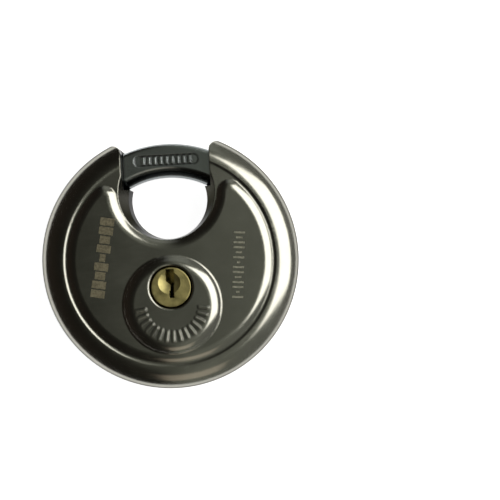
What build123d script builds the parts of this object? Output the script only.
"""Disc padlock lying on its back.

Frame: origin on the disc axis at the back face, +Z out of the keyhole face, +Y towards the
gap that the shackle closes. Millimetres. The lock stands closed.
"""

import os
from math import acos, asin, cos, degrees, radians, sin

from build123d import *

os.makedirs("parts", exist_ok=True)

# ---- driving dimensions ---------------------------------------------------------------------
DISC_R = 35.0  # 70 mm disc padlock
THICK = 27.0  # back face to front face, without the boss
MID = THICK / 2
WALL = 1.2  # pressed stainless shell
RIM_Z = THICK - 0.7  # crest of the rolled rim
RIM_CREST_R = 28.9
RIM_ROLL = 7.5  # broad roll from the crest outwards
RIM_CORNER = 1.2  # tight turn into the side wall
VALLEY_R = 28.1
VALLEY_Z = THICK - 0.86
FIELD_ROUND = 4.0  # soft shoulder of the raised field
FIELD_R = 29.4  # where that shoulder would stand upright
FIELD_BITE_R = 12.2
FIELD_BITE_Y = 19.2
FIELD_TIP_R = 4.9

THROAT_Y = 16.6  # centre of the round bottom of the throat
THROAT_HALF = 10.8
LIP_HALF = 12.0  # straight gap between the lips, above the round throat
LIP_Y = 19.8
LIP_CORNER = 2.2
LINER_T = 1.5
COLLAR_DEPTH = 7.0  # how far the shell collar turns into the throat, from the outer face
MOUTH_R = 13.0  # the collar is wider at the face than at the liner
MOUTH_Y = 18.5
MOUTH_Z = 26.0
POCKET_CLEAR_R = 16.2

SHACKLE_IN = 22.9
SHACKLE_OUT = 32.1
SHACKLE_T = 10.0
SHACKLE_INNER_FLAT = 25.7  # where the round inner side meets the flat faces
SHACKLE_OUTER_ROUND = 1.1
TAIL_ANGLE = 25.0
FREE_ANGLE = 125.0
TRAVEL = 64.0
CHANNEL_GAP = 0.35

BOSS_Y = -12.1
BOSS_R = 13.7  # outer end of the small fillet round the foot
BOSS_H = 1.45
BOSS_ROUND = 4.2
BOSS_FOOT = 0.9
PIP_COUNT = 15
PLUG_Y = -7.3
PLUG_R = 5.5
PLUG_HOLE_R = 5.75
PLUG_FRONT = 27.9
PLUG_REAR = 11.0

CRANK = 5.0  # crank pin from the plug axis
CRANK_START = 82.0  # crank pin from -Y while the lock is closed
CRANK_PIN_R = 1.5
CARRIER_Z = 6.1
CARRIER_TOP = MID - SHACKLE_T / 2
DRIVE_Z = 8.8
COVER_Z = 2.6
COVER_TOP = 4.6
CORE_TOP = THICK - COVER_Z
HOUSING_Z = 11.3
PIN_COUNT = 5
PIN_PITCH = 2.1
PIN_FIRST_Z = 14.8
PIN_R = 0.9
CHAMBER_R = 0.95
CHAMBER_END = -20.3
CAP_T = 0.9
CUTS = [0.3, 1.0, 0.5, 1.2, 0.7]  # key cut under each pin


def polar(radius, degrees):
    return (radius * cos(radians(degrees)), radius * sin(radians(degrees)))


def ring_sector(r_in, r_out, start, end):
    """Flat piece of a ring about the disc axis."""
    with BuildSketch() as flat:
        with BuildLine():
            Line(polar(r_in, start), polar(r_out, start))
            CenterArc((0, 0), r_out, start, end - start)
            Line(polar(r_out, end), polar(r_in, end))
            CenterArc((0, 0), r_in, start, end - start)
        make_face()
    return flat.sketch


def pie(radius, start, end):
    """Flat slice about the disc axis, out to a radius."""
    with BuildSketch() as flat:
        with BuildLine():
            Line((0, 0), polar(radius, start))
            CenterArc((0, 0), radius, start, end - start)
            Line(polar(radius, end), (0, 0))
        make_face()
    return flat.sketch


def lip_gap(extra=0.0):
    """Straight gap between the lips, open towards +Y, with their outer corners rounded."""
    with BuildSketch() as lips:
        Circle(DISC_R)
        with Locations((0, LIP_Y - extra)):
            Rectangle(2 * (LIP_HALF + extra), 40, align=(Align.CENTER, Align.MIN),
                      mode=Mode.SUBTRACT)
        fillet([v for v in lips.vertices() if v.Y > 28], LIP_CORNER)
    with BuildSketch() as flat:
        with Locations((0, LIP_Y - extra)):
            Rectangle(2 * (LIP_HALF + 6), 40, align=(Align.CENTER, Align.MIN))
        add(lips.sketch, mode=Mode.SUBTRACT)
    return flat.sketch


def throat_outline(extra=0.0):
    """Round throat with the gap between the lips above it, grown by extra."""
    with BuildSketch() as flat:
        with Locations((0, THROAT_Y)):
            Circle(THROAT_HALF + extra)
        add(lip_gap(extra))
    return flat.sketch


def housing_outline(extra=0.0):
    """Sleeve for the plug with the pin tower below it."""
    with BuildSketch() as flat:
        with Locations((0, PLUG_Y)):
            Circle(7.5)
            Rectangle(6.4, PLUG_Y - CHAMBER_END + extra, align=(Align.CENTER, Align.MAX))
    return flat.sketch


def disc(radius):
    """Flat disc about the disc axis."""
    with BuildSketch() as flat:
        Circle(radius)
    return flat.sketch


def slab(flat, z_from, z_to):
    """A flat outline made solid between two heights."""
    with BuildPart() as solid:
        with BuildSketch(Plane.XY.offset(z_from)):
            add(flat)
        extrude(amount=z_to - z_from)
    return solid.part


def crank_point():
    """Crank pin centre while the lock is closed."""
    return (CRANK * sin(radians(CRANK_START)), PLUG_Y - CRANK * cos(radians(CRANK_START)))


def screw_points():
    """Two screws that hold the drive disc, square to the crank."""
    cx, cy = crank_point()
    dx, dy = cx / CRANK, (cy - PLUG_Y) / CRANK
    return [(-3.2 * dy, PLUG_Y + 3.2 * dx), (3.2 * dy, PLUG_Y - 3.2 * dx)]


def rim_tangent():
    """Height of the corner centre and the angle where the corner meets the broad roll."""
    across = DISC_R - RIM_CORNER - RIM_CREST_R
    reach = RIM_ROLL - RIM_CORNER
    angle = degrees(acos(across / reach))
    return RIM_Z - RIM_ROLL + reach * sin(radians(angle)), angle


def shell_skin():
    """Outside of one pressed half, from the parting plane to the raised field."""
    corner_z, meet = rim_tangent()
    lip = 0.8
    lean = 35.0
    with BuildPart() as skin:
        with BuildSketch(Plane.XZ):
            with BuildLine():
                Polyline((0, MID), (DISC_R, MID), (DISC_R, corner_z))
                CenterArc((DISC_R - RIM_CORNER, corner_z), RIM_CORNER, 0, meet)
                CenterArc((RIM_CREST_R, RIM_Z - RIM_ROLL), RIM_ROLL, meet, 90 - meet)
                crest = CenterArc((RIM_CREST_R, RIM_Z - lip), lip, 90, lean)
                Polyline(crest @ 1, (VALLEY_R, VALLEY_Z), (0, VALLEY_Z), (0, MID))
            make_face()
        revolve(axis=Axis.Z)
        add(raised_field())
    return skin.part


def raised_field():
    """Soft-edged field of the face: a disc with a round bite and round tips."""
    with BuildPart() as field:
        with BuildSketch(Plane.XY.offset(MID + 4)) as flat:
            Circle(FIELD_R)
            with Locations((0, FIELD_BITE_Y)):
                Circle(FIELD_BITE_R, mode=Mode.SUBTRACT)
            fillet([v for v in flat.vertices() if v.Y > 25], FIELD_TIP_R)
        extrude(amount=THICK - MID - 4)
        fillet(field.faces().sort_by(Axis.Z)[-1].edges(), FIELD_ROUND)
    return field.part


def collar(extra=0.0):
    """Room the throat takes near the front face, widening towards it, grown by extra."""
    liner_z = THICK - COLLAR_DEPTH
    with BuildPart() as room:
        with BuildSketch(Plane.XY.offset(liner_z)):
            with Locations((0, THROAT_Y)):
                Circle(THROAT_HALF + extra)
        with BuildSketch(Plane.XY.offset(MOUTH_Z)):
            with Locations((0, MOUTH_Y)):
                Circle(MOUTH_R + extra)
        loft()
        with BuildSketch(Plane.XY.offset(MOUTH_Z)):
            with Locations((0, MOUTH_Y)):
                Circle(MOUTH_R + extra)
        extrude(amount=4)
    return room.part


def throat_rooms():
    """Everything the liner, both collars and the lip gap take, to cut from inner pieces."""
    low = COLLAR_DEPTH
    high = THICK - COLLAR_DEPTH
    return [
        slab(throat_outline(LINER_T), low, high),
        slab(lip_gap(LINER_T), 0, low),
        slab(lip_gap(LINER_T), high, THICK),
        collar(LINER_T),
        collar(LINER_T).mirror(Plane.XY.offset(MID)),
    ]


def shell_cavity():
    """Room inside one pressed half, leaving the collar that turns into the throat."""
    inner = DISC_R - WALL
    corner_z, meet = rim_tangent()
    reach = RIM_ROLL - RIM_CORNER
    drop = CORE_TOP - (RIM_Z - RIM_ROLL)
    flat_at = degrees(asin(drop / reach))
    with BuildPart() as room:
        with BuildSketch(Plane.XZ):
            with BuildLine():
                Polyline((0, MID - 1), (inner, MID - 1), (inner, corner_z))
                roll = CenterArc((RIM_CREST_R, RIM_Z - RIM_ROLL), reach, meet, flat_at - meet)
                Polyline(roll @ 1, (0, CORE_TOP), (0, MID - 1))
            make_face()
        revolve(axis=Axis.Z)
        with BuildSketch(Plane.XY.offset(CORE_TOP)):
            Circle(25)
            with Locations((0, THROAT_Y)):
                Circle(POCKET_CLEAR_R, mode=Mode.SUBTRACT)
        extrude(amount=THICK - 1.3 - CORE_TOP)
        add(slab(lip_gap(LINER_T), THICK - COLLAR_DEPTH, THICK + 3), mode=Mode.SUBTRACT)
        add(collar(LINER_T), mode=Mode.SUBTRACT)
    return room.part


def pressed_half():
    """One pressed half with its drawn throat collar, front way up."""
    with BuildPart() as half:
        add(shell_skin())
        add(slab(throat_outline(), MID - 1, THICK - COLLAR_DEPTH), mode=Mode.SUBTRACT)
        add(slab(lip_gap(), THICK - COLLAR_DEPTH, THICK + 3), mode=Mode.SUBTRACT)
        add(collar(), mode=Mode.SUBTRACT)
        add(shell_cavity(), mode=Mode.SUBTRACT)
    return half.part


# ---- back shell -----------------------------------------------------------------------------
with BuildPart() as back_shell:
    add(pressed_half().mirror(Plane.XY.offset(MID)))
back_shell.part.label = "back_shell"
export_step(back_shell.part, "parts/back_shell.step")

# ---- front shell: the same pressing with the lock boss --------------------------------------
with BuildPart() as front_shell:
    add(pressed_half())
    boss_top = THICK + BOSS_H
    boss_low = THICK - 0.6
    foot_z = THICK - 0.03 + BOSS_FOOT
    both = BOSS_ROUND + BOSS_FOOT
    slope = degrees(acos((foot_z - boss_top + BOSS_ROUND) / both))
    boss_flat = BOSS_R - both * sin(radians(slope))
    with BuildSketch(Plane.XZ.offset(-BOSS_Y)):
        with BuildLine():
            shoulder = CenterArc(
                (boss_flat, boss_top - BOSS_ROUND), BOSS_ROUND, 90 - slope, slope
            )
            foot = CenterArc((BOSS_R, foot_z), BOSS_FOOT, 270 - slope, slope)
            Polyline(shoulder @ 1, (0, boss_top), (0, boss_low), (BOSS_R, boss_low), foot @ 1)
        make_face()
    revolve(axis=Axis((0, BOSS_Y, 0), (0, 0, 1)))
    with BuildSketch(Plane.XY.offset(CORE_TOP - 2)):
        with Locations((0, PLUG_Y)):
            Circle(PLUG_HOLE_R)
    extrude(amount=8, mode=Mode.SUBTRACT)
    circles = front_shell.edges().filter_by(GeomType.CIRCLE)
    hole_edges = circles.filter_by(lambda e: abs(e.radius - PLUG_HOLE_R) < 0.01)
    fillet(hole_edges.sort_by(Axis.Z)[-1], 0.5)
    # raised bars around the lower half of the boss
    for step in range(PIP_COUNT):
        angle = 187 + (166 / (PIP_COUNT - 1)) * step
        px, py = polar(8.5, angle)
        with BuildSketch(Plane.XY.offset(THICK + BOSS_H - 0.2)):
            with Locations(Location((px, BOSS_Y + py, 0), (0, 0, angle))):
                SlotOverall(3.2, 0.9)
        extrude(amount=0.5)
front_shell.part.label = "front_shell"
export_step(front_shell.part, "parts/front_shell.step")

# ---- throat liner: bent strip between the two collars ---------------------------------------
with BuildPart() as throat_liner:
    add(slab(throat_outline(LINER_T), COLLAR_DEPTH, THICK - COLLAR_DEPTH))
    add(slab(throat_outline(), COLLAR_DEPTH - 1, THICK - COLLAR_DEPTH + 1), mode=Mode.SUBTRACT)
    with Locations((0, 0, MID)):
        Cylinder(DISC_R - WALL, 40, mode=Mode.INTERSECT)
    gap = SHACKLE_T / 2 + CHANNEL_GAP
    add(
        slab(
            ring_sector(SHACKLE_IN - CHANNEL_GAP, SHACKLE_OUT + CHANNEL_GAP, 20, 160),
            MID - gap,
            MID + gap,
        ),
        mode=Mode.SUBTRACT,
    )
throat_liner.part.label = "throat_liner"
export_step(throat_liner.part, "parts/throat_liner.step")

# ---- shackle --------------------------------------------------------------------------------
SHACKLE_TOP = MID + SHACKLE_T / 2
SHACKLE_BOTTOM = MID - SHACKLE_T / 2
RIVET_ANGLES = [28.0, 37.0]
with BuildPart() as shackle:
    with BuildSketch(Plane.XZ.rotated((0, 0, TAIL_ANGLE))):
        with BuildLine():
            outer_flat = SHACKLE_OUT - SHACKLE_OUTER_ROUND
            high = SHACKLE_TOP - SHACKLE_OUTER_ROUND
            low = SHACKLE_BOTTOM + SHACKLE_OUTER_ROUND
            Line((SHACKLE_OUT, low), (SHACKLE_OUT, high))
            CenterArc((outer_flat, high), SHACKLE_OUTER_ROUND, 0, 90)
            Line((outer_flat, SHACKLE_TOP), (SHACKLE_INNER_FLAT, SHACKLE_TOP))
            ThreePointArc(
                (SHACKLE_INNER_FLAT, SHACKLE_TOP),
                (SHACKLE_IN, MID),
                (SHACKLE_INNER_FLAT, SHACKLE_BOTTOM),
            )
            Line((SHACKLE_INNER_FLAT, SHACKLE_BOTTOM), (outer_flat, SHACKLE_BOTTOM))
            CenterArc((outer_flat, low), SHACKLE_OUTER_ROUND, -90, 90)
        make_face()
    revolve(axis=Axis.Z, revolution_arc=FREE_ANGLE - TAIL_ANGLE)
    # shallow panel with a row of raised ribs
    with BuildSketch(Plane.XY.offset(SHACKLE_TOP - 0.6)):
        with Locations((0, 27.6)):
            SlotOverall(17.8, 3.0)
    extrude(amount=2, mode=Mode.SUBTRACT)
    for rib in range(9):
        with Locations((-6.4 + 1.6 * rib, 27.6, SHACKLE_TOP - 0.35)):
            Box(0.8, 2.0, 0.7)
    for angle in RIVET_ANGLES:
        rx, ry = polar(27.5, angle)
        with Locations((rx, ry, SHACKLE_BOTTOM)):
            Cylinder(1.2, 5.0, mode=Mode.SUBTRACT)
shackle.part.label = "shackle"
export_step(shackle.part, "parts/shackle.step")

# ---- shackle carrier: plate that turns about the disc axis and carries the tail -------------
crank_x, crank_y = crank_point()
SLOT_ANGLE = -58.2
with BuildPart() as shackle_carrier:
    with BuildSketch(Plane.XY.offset(CARRIER_Z)):
        Circle(3.95)
        add(pie(12.0, SLOT_ANGLE, 16))
        Polygon((3.2, 2.2), polar(24, 38), polar(24, 14), (0.5, -3.8), align=None)
        add(ring_sector(23.4, 31.0, 18, 39))
        with Locations(Location((0, 0, 0), (0, 0, SLOT_ANGLE))):
            with Locations((8.2, 0)):
                Rectangle(16.4, 7.6)
        with Locations(Location((0, 0, 0), (0, 0, SLOT_ANGLE))):
            with Locations((10.85, 0)):
                SlotCenterToCenter(3.3, 2 * CRANK_PIN_R + 0.46, mode=Mode.SUBTRACT)
        Circle(2.45, mode=Mode.SUBTRACT)
        for angle in RIVET_ANGLES:
            with Locations(polar(27.5, angle)):
                Circle(1.2, mode=Mode.SUBTRACT)
    extrude(amount=CARRIER_TOP - CARRIER_Z)
shackle_carrier.part.label = "shackle_carrier"
export_step(shackle_carrier.part, "parts/shackle_carrier.step")

# ---- carrier rivets -------------------------------------------------------------------------
with BuildPart() as carrier_rivets:
    for angle in RIVET_ANGLES:
        rx, ry = polar(27.5, angle)
        with Locations((rx, ry, CARRIER_Z)):
            Cylinder(1.2, 4.9, align=(Align.CENTER, Align.CENTER, Align.MIN))
            Cylinder(1.9, 0.9, align=(Align.CENTER, Align.CENTER, Align.MAX))
carrier_rivets.part.label = "carrier_rivets"
export_step(carrier_rivets.part, "parts/carrier_rivets.step")

# ---- cover plate, its screws, the pivot post and washer -------------------------------------
STOPS = [polar(20.0, -56), polar(27.0, 43.5)]
COVER_SCREWS = [(-21.0, 5.0), (-20.0, -12.0), (-8.5, -24.5), (10.0, -24.5)]
with BuildPart() as cover_plate:
    with BuildSketch(Plane.XY.offset(COVER_Z)):
        Circle(29.0)
        Circle(2.4, mode=Mode.SUBTRACT)
        with Locations(*COVER_SCREWS):
            Circle(1.25, mode=Mode.SUBTRACT)
        with Locations(*STOPS):
            Circle(1.0, mode=Mode.SUBTRACT)
    extrude(amount=COVER_TOP - COVER_Z)
    with Locations(*[(x, y, COVER_Z) for x, y in COVER_SCREWS]):
        Cylinder(2.3, 2.4, mode=Mode.SUBTRACT)
    for room in throat_rooms():
        add(room, mode=Mode.SUBTRACT)
cover_plate.part.label = "cover_plate"
export_step(cover_plate.part, "parts/cover_plate.step")

with BuildPart() as cover_screws:
    for x, y in COVER_SCREWS:
        with Locations((x, y, COVER_Z)):
            Cylinder(2.3, 1.2, align=(Align.CENTER, Align.CENTER, Align.MIN))
            Cylinder(1.25, 9.0, align=(Align.CENTER, Align.CENTER, Align.MIN))
            Box(3.0, 0.6, 1.0, mode=Mode.SUBTRACT)
cover_screws.part.label = "cover_screws"
export_step(cover_screws.part, "parts/cover_screws.step")

with BuildPart() as pivot_post:
    with Locations((0, 0, COVER_Z)):
        Cylinder(2.4, 6.2, align=(Align.CENTER, Align.CENTER, Align.MIN))
    chamfer(pivot_post.faces().sort_by(Axis.Z)[-1].edges(), 0.3)
pivot_post.part.label = "pivot_post"
export_step(pivot_post.part, "parts/pivot_post.step")

with BuildPart() as pivot_washer:
    with BuildSketch(Plane.XY.offset(COVER_TOP)):
        Circle(3.9)
        Circle(2.4, mode=Mode.SUBTRACT)
    extrude(amount=CARRIER_Z - COVER_TOP)
pivot_washer.part.label = "pivot_washer"
export_step(pivot_washer.part, "parts/pivot_washer.step")

# ---- free end socket: hardened cup that takes the shackle's free end ------------------------
SOCKET_LOW = 7.0
SOCKET_HIGH = THICK - SOCKET_LOW
with BuildPart() as free_end_socket:
    add(slab(ring_sector(21.4, 33.5, 109, 130), SOCKET_LOW, SOCKET_HIGH))
    for room in throat_rooms():
        add(room, mode=Mode.SUBTRACT)
    add(
        slab(
            ring_sector(SHACKLE_IN - CHANNEL_GAP, SHACKLE_OUT + CHANNEL_GAP, 100, 126.3),
            MID - gap,
            MID + gap,
        ),
        mode=Mode.SUBTRACT,
    )
free_end_socket.part.label = "free_end_socket"
export_step(free_end_socket.part, "parts/free_end_socket.step")

# ---- tail guide: wear strip outside the shackle's track -------------------------------------
with BuildPart() as tail_guide:
    add(slab(ring_sector(SHACKLE_OUT + 0.4, 33.5, -42, 62), MID - 5.3, MID + 5.3))
tail_guide.part.label = "tail_guide"
export_step(tail_guide.part, "parts/tail_guide.step")

# ---- stop pins: end of the carrier's travel both ways ---------------------------------------
with BuildPart() as stop_pins:
    for x, y in STOPS:
        with Locations((x, y, COVER_Z)):
            Cylinder(1.0, 5.6, align=(Align.CENTER, Align.CENTER, Align.MIN))
stop_pins.part.label = "stop_pins"
export_step(stop_pins.part, "parts/stop_pins.step")

# ---- lock body: cast core that holds everything between the shells --------------------------
with BuildPart() as lock_body:
    add(slab(disc(30.0), COVER_TOP, SOCKET_LOW))
    add(slab(disc(33.5), SOCKET_LOW, SOCKET_HIGH))
    add(slab(disc(29.0), SOCKET_HIGH, CORE_TOP))
    for room in throat_rooms():
        add(room, mode=Mode.SUBTRACT)
    add(slab(ring_sector(22.5, 35, -46, 75), MID - 5.4, MID + 5.4), mode=Mode.SUBTRACT)
    add(slab(ring_sector(21.4, 35, 104, 130), SOCKET_LOW, SOCKET_HIGH), mode=Mode.SUBTRACT)
    add(slab(pie(17.0, -150, -40), 4, DRIVE_Z + 0.1), mode=Mode.SUBTRACT)
    add(slab(pie(8.5, -190, -40), 4, DRIVE_Z + 0.1), mode=Mode.SUBTRACT)
    add(slab(pie(31.7, -54, 47), 4, DRIVE_Z + 0.1), mode=Mode.SUBTRACT)
    add(slab(disc(4.6), 4, DRIVE_Z + 0.1), mode=Mode.SUBTRACT)
    with Locations((0, PLUG_Y, DRIVE_Z)):
        Cylinder(
            7.4, HOUSING_Z - DRIVE_Z, align=(Align.CENTER, Align.CENTER, Align.MIN),
            mode=Mode.SUBTRACT,
        )
    add(slab(housing_outline(CAP_T), HOUSING_Z, THICK), mode=Mode.SUBTRACT)
    for x, y in COVER_SCREWS:
        with Locations((x, y, COVER_Z)):
            Cylinder(
                1.25, 9.0, align=(Align.CENTER, Align.CENTER, Align.MIN), mode=Mode.SUBTRACT
            )
    for x, y in STOPS:
        with Locations((x, y, COVER_Z)):
            Cylinder(
                1.0, 5.6, align=(Align.CENTER, Align.CENTER, Align.MIN), mode=Mode.SUBTRACT
            )
lock_body.part.label = "lock_body"
export_step(lock_body.part, "parts/lock_body.step")

# ---- cylinder housing -----------------------------------------------------------------------
PIN_Z = [PIN_FIRST_Z + PIN_PITCH * n for n in range(PIN_COUNT)]


def along_y(radius, y_from, y_to, z):
    """Round bar along Y at a height, for pins and their chambers."""
    with BuildPart() as bar:
        with BuildSketch(Plane.XZ.offset(-y_from)):
            with Locations((0, z)):
                Circle(radius)
        extrude(amount=y_from - y_to)
    return bar.part


with BuildPart() as cylinder_housing:
    add(slab(housing_outline(), HOUSING_Z, CORE_TOP))
    with Locations((0, PLUG_Y, MID)):
        Cylinder(PLUG_R + 0.05, 40, mode=Mode.SUBTRACT)
    for z in PIN_Z:
        add(along_y(CHAMBER_R, PLUG_Y - 3, CHAMBER_END - 1, z), mode=Mode.SUBTRACT)
cylinder_housing.part.label = "cylinder_housing"
export_step(cylinder_housing.part, "parts/cylinder_housing.step")

with BuildPart() as chamber_cap:
    with Locations((0, CHAMBER_END, (HOUSING_Z + CORE_TOP) / 2)):
        Box(6.4, CAP_T, CORE_TOP - HOUSING_Z, align=(Align.CENTER, Align.MAX, Align.CENTER))
chamber_cap.part.label = "chamber_cap"
export_step(chamber_cap.part, "parts/chamber_cap.step")

# ---- plug -----------------------------------------------------------------------------------
DISH_R = 3.0
DISH_DEPTH = 0.45
BALL_R = (DISH_R**2 + DISH_DEPTH**2) / (2 * DISH_DEPTH)
with BuildPart() as cylinder_plug:
    with Locations((0, PLUG_Y, PLUG_REAR)):
        Cylinder(PLUG_R, PLUG_FRONT - PLUG_REAR, align=(Align.CENTER, Align.CENTER, Align.MIN))
    fillet(cylinder_plug.faces().sort_by(Axis.Z)[-1].edges(), 0.35)
    with Locations((0, PLUG_Y, CORE_TOP + 0.1)):
        Cylinder(6.6, 0.9, align=(Align.CENTER, Align.CENTER, Align.MIN))
    with Locations((-0.4, PLUG_Y + 1.2, PLUG_FRONT - DISH_DEPTH + BALL_R)):
        Sphere(BALL_R, mode=Mode.SUBTRACT)
    with BuildSketch(Plane.XY.offset(13.4)):
        Polygon(
            (-1.3, -2.4), (1.0, -2.4), (1.0, -6.6), (0.8, -6.6), (0.8, -10.2), (-0.5, -10.2),
            (-0.5, -8.2), (-0.2, -8.2), (-0.2, -6.6), (-1.3, -5.6), align=None,
        )
    extrude(amount=20, mode=Mode.SUBTRACT)
    for z in PIN_Z:
        add(along_y(CHAMBER_R, -8.0, -14.0, z), mode=Mode.SUBTRACT)
    for x, y in screw_points():
        with Locations((x, y, PLUG_REAR)):
            Cylinder(
                0.8, 2.0, align=(Align.CENTER, Align.CENTER, Align.MIN), mode=Mode.SUBTRACT
            )
cylinder_plug.part.label = "cylinder_plug"
export_step(cylinder_plug.part, "parts/cylinder_plug.step")

# ---- pins and springs, standing as they do with the right key in ----------------------------
with BuildPart() as key_pins:
    for z, cut in zip(PIN_Z, CUTS):
        add(along_y(PIN_R, -9.3 - cut, PLUG_Y - 5.3, z))
        with Locations(Location((0, -9.3 - cut, z), (90, 0, 0))):
            Cone(PIN_R, 0.35, 0.5, align=(Align.CENTER, Align.CENTER, Align.MAX),
                 rotation=(180, 0, 0))
key_pins.part.label = "key_pins"
export_step(key_pins.part, "parts/key_pins.step")

with BuildPart() as driver_pins:
    for z in PIN_Z:
        add(along_y(PIN_R, PLUG_Y - 5.85, -16.4, z))
driver_pins.part.label = "driver_pins"
export_step(driver_pins.part, "parts/driver_pins.step")

with BuildPart() as one_spring:
    with BuildLine():
        Helix(pitch=0.62, height=3.6, radius=0.62)
    with BuildSketch(Plane(origin=(0.62, 0, 0), z_dir=(0, 1, 0))):
        Circle(0.13)
    sweep(is_frenet=True)
with BuildPart() as pin_springs:
    for z in PIN_Z:
        with Locations(Location((0, -16.6, z), (90, 0, 0))):
            add(one_spring.part)
pin_springs.part.label = "pin_springs"
export_step(pin_springs.part, "parts/pin_springs.step")

# ---- drive disc, crank pin and screws at the back of the plug -------------------------------
with BuildPart() as drive_disc:
    with BuildSketch(Plane.XY.offset(DRIVE_Z)):
        with Locations((0, PLUG_Y)):
            Circle(7.0)
        with Locations((crank_x, crank_y)):
            Circle(CRANK_PIN_R, mode=Mode.SUBTRACT)
    extrude(amount=PLUG_REAR - DRIVE_Z)
    for x, y in screw_points():
        with Locations((x, y, DRIVE_Z)):
            Cylinder(0.8, 10, mode=Mode.SUBTRACT)
            Cylinder(1.5, 2.0, mode=Mode.SUBTRACT)
drive_disc.part.label = "drive_disc"
export_step(drive_disc.part, "parts/drive_disc.step")

with BuildPart() as crank_pin:
    with Locations((crank_x, crank_y, 5.4)):
        Cylinder(CRANK_PIN_R, PLUG_REAR - 5.4, align=(Align.CENTER, Align.CENTER, Align.MIN))
crank_pin.part.label = "crank_pin"
export_step(crank_pin.part, "parts/crank_pin.step")

with BuildPart() as drive_screws:
    for x, y in screw_points():
        with Locations((x, y, DRIVE_Z)):
            Cylinder(1.5, 1.0, align=(Align.CENTER, Align.CENTER, Align.MIN))
            Cylinder(0.8, 4.0, align=(Align.CENTER, Align.CENTER, Align.MIN))
drive_screws.part.label = "drive_screws"
export_step(drive_screws.part, "parts/drive_screws.step")

# ---- drill guard: hardened plate behind the boss --------------------------------------------
with BuildPart() as drill_guard:
    with BuildSketch(Plane.XY.offset(CORE_TOP)):
        with Locations((0, -11.4)):
            Circle(11.2)
        with Locations((0, PLUG_Y)):
            Circle(7.0, mode=Mode.SUBTRACT)
    extrude(amount=THICK - 1.3 - CORE_TOP)
drill_guard.part.label = "drill_guard"
export_step(drill_guard.part, "parts/drill_guard.step")
